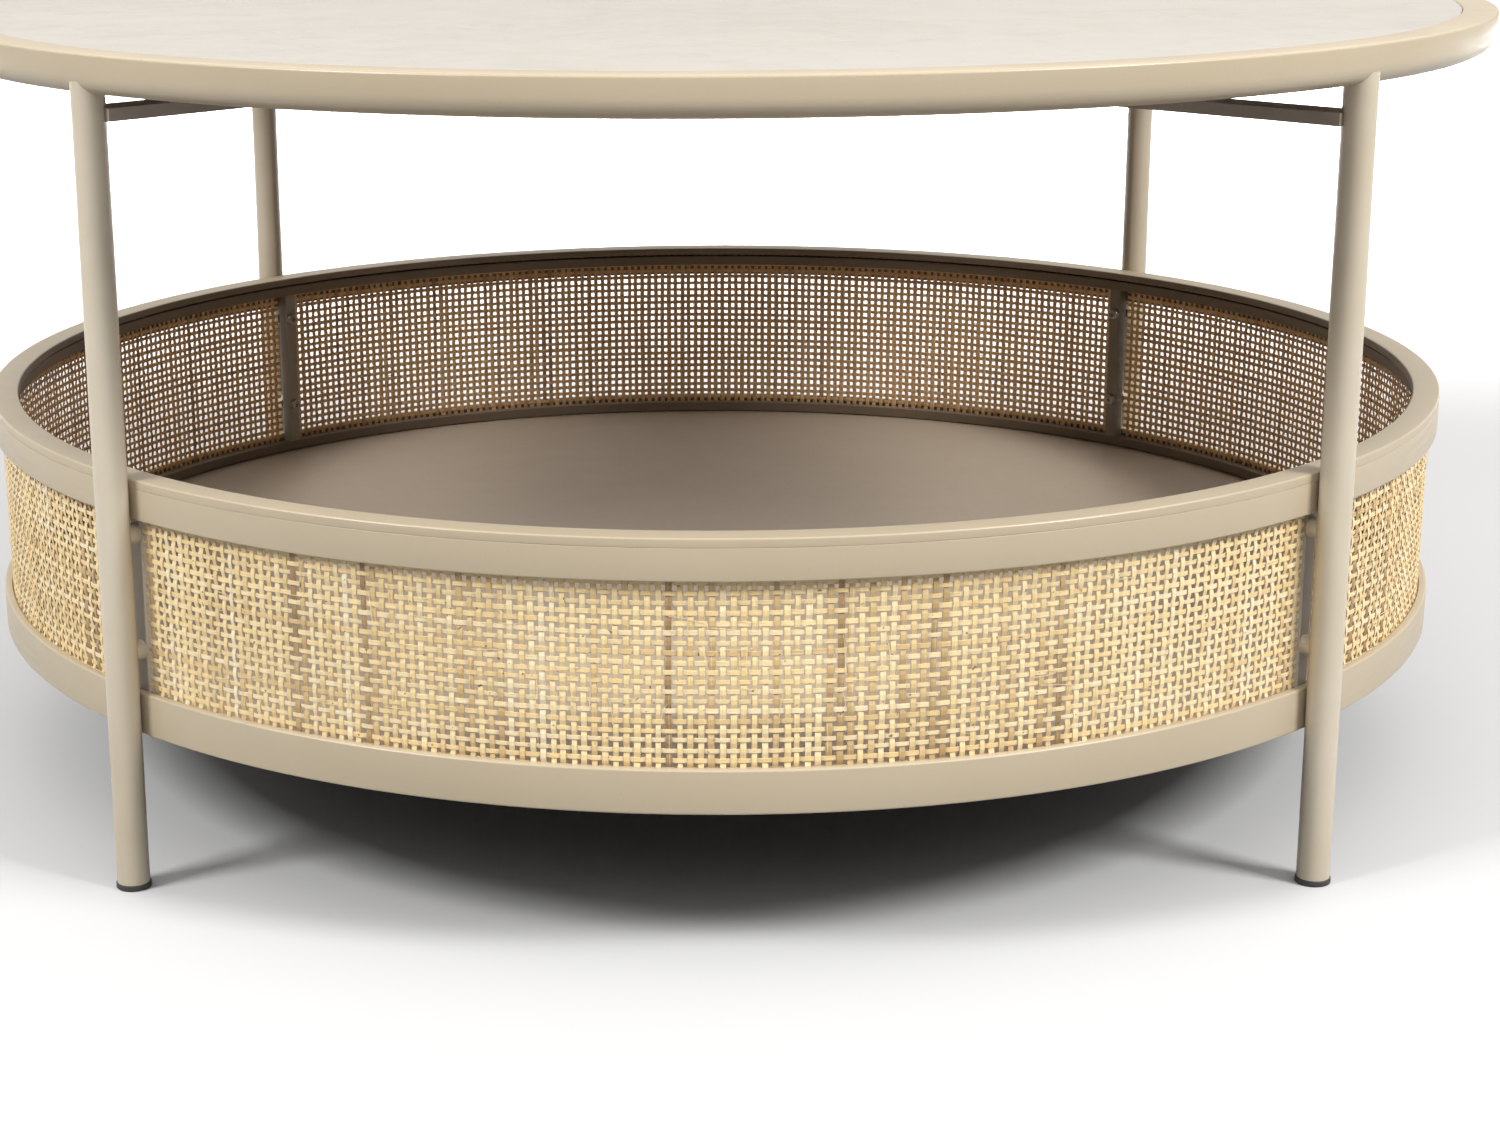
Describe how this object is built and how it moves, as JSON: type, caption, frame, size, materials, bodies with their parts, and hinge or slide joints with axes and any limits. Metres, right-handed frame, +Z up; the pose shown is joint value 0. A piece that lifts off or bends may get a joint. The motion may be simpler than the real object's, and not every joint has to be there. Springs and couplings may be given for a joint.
{
  "type": "coffee table",
  "caption": "Round two-tier coffee table: a disc top on slim posts over an open round tray walled in woven cane.",
  "frame": {"origin": "centre of the table, on the floor", "axes": "+Z up, front towards -Y, the posts at 45 degrees to the axes"},
  "size_m": [0.8319, 0.832, 0.405],
  "materials": {
    "beige_powder_coat": "satin beige powder coat",
    "inner_powder_coat": "satin dark taupe powder coat",
    "dark_powder_coat": "satin dark brown powder coat",
    "cream_top": "honed cream sintered stone with faint veins",
    "core_board": "sealed board, dark",
    "tray_floor": "satin taupe lacquered board",
    "woven_cane": "natural split cane, plain weave",
    "zinc_screws": "zinc plated",
    "glide_plastic": "moulded",
    "standoff_rubber": "moulded"
  },
  "bodies": {
    "root": {"bar_centre_bolt": "zinc_screws", "bar_centre_nut": "zinc_screws", "cane_panel_back": "woven_cane", "cane_panel_front": "woven_cane", "cane_panel_left": "woven_cane", "cane_panel_right": "woven_cane", "clamp_hoop_lower": "inner_powder_coat", "clamp_hoop_upper": "inner_powder_coat", "floor_panel_screws": "zinc_screws", "foot_glide_back_left": "glide_plastic", "foot_glide_back_right": "glide_plastic", "foot_glide_front_left": "glide_plastic", "foot_glide_front_right": "glide_plastic", "lower_bar_pads": "standoff_rubber", "post_back_left": "beige_powder_coat", "post_back_right": "beige_powder_coat", "post_front_left": "beige_powder_coat", "post_front_right": "beige_powder_coat", "post_screws": "zinc_screws", "post_spacers": "beige_powder_coat", "support_bar_lower": "inner_powder_coat", "support_bar_upper": "inner_powder_coat", "top_core_board": "core_board", "top_edge_ring": "beige_powder_coat", "top_inset_panel": "cream_top", "top_screws": "zinc_screws", "tray_floor_ledge": "beige_powder_coat", "tray_floor_panel": "tray_floor", "tray_lower_band": "beige_powder_coat", "tray_top_lip": "beige_powder_coat", "tray_upper_band": "beige_powder_coat", "upper_bar_pads": "standoff_rubber", "upright_back_left": "dark_powder_coat", "upright_back_right": "dark_powder_coat", "upright_front_left": "dark_powder_coat", "upright_front_right": "dark_powder_coat"}
  },
  "joints": []
}
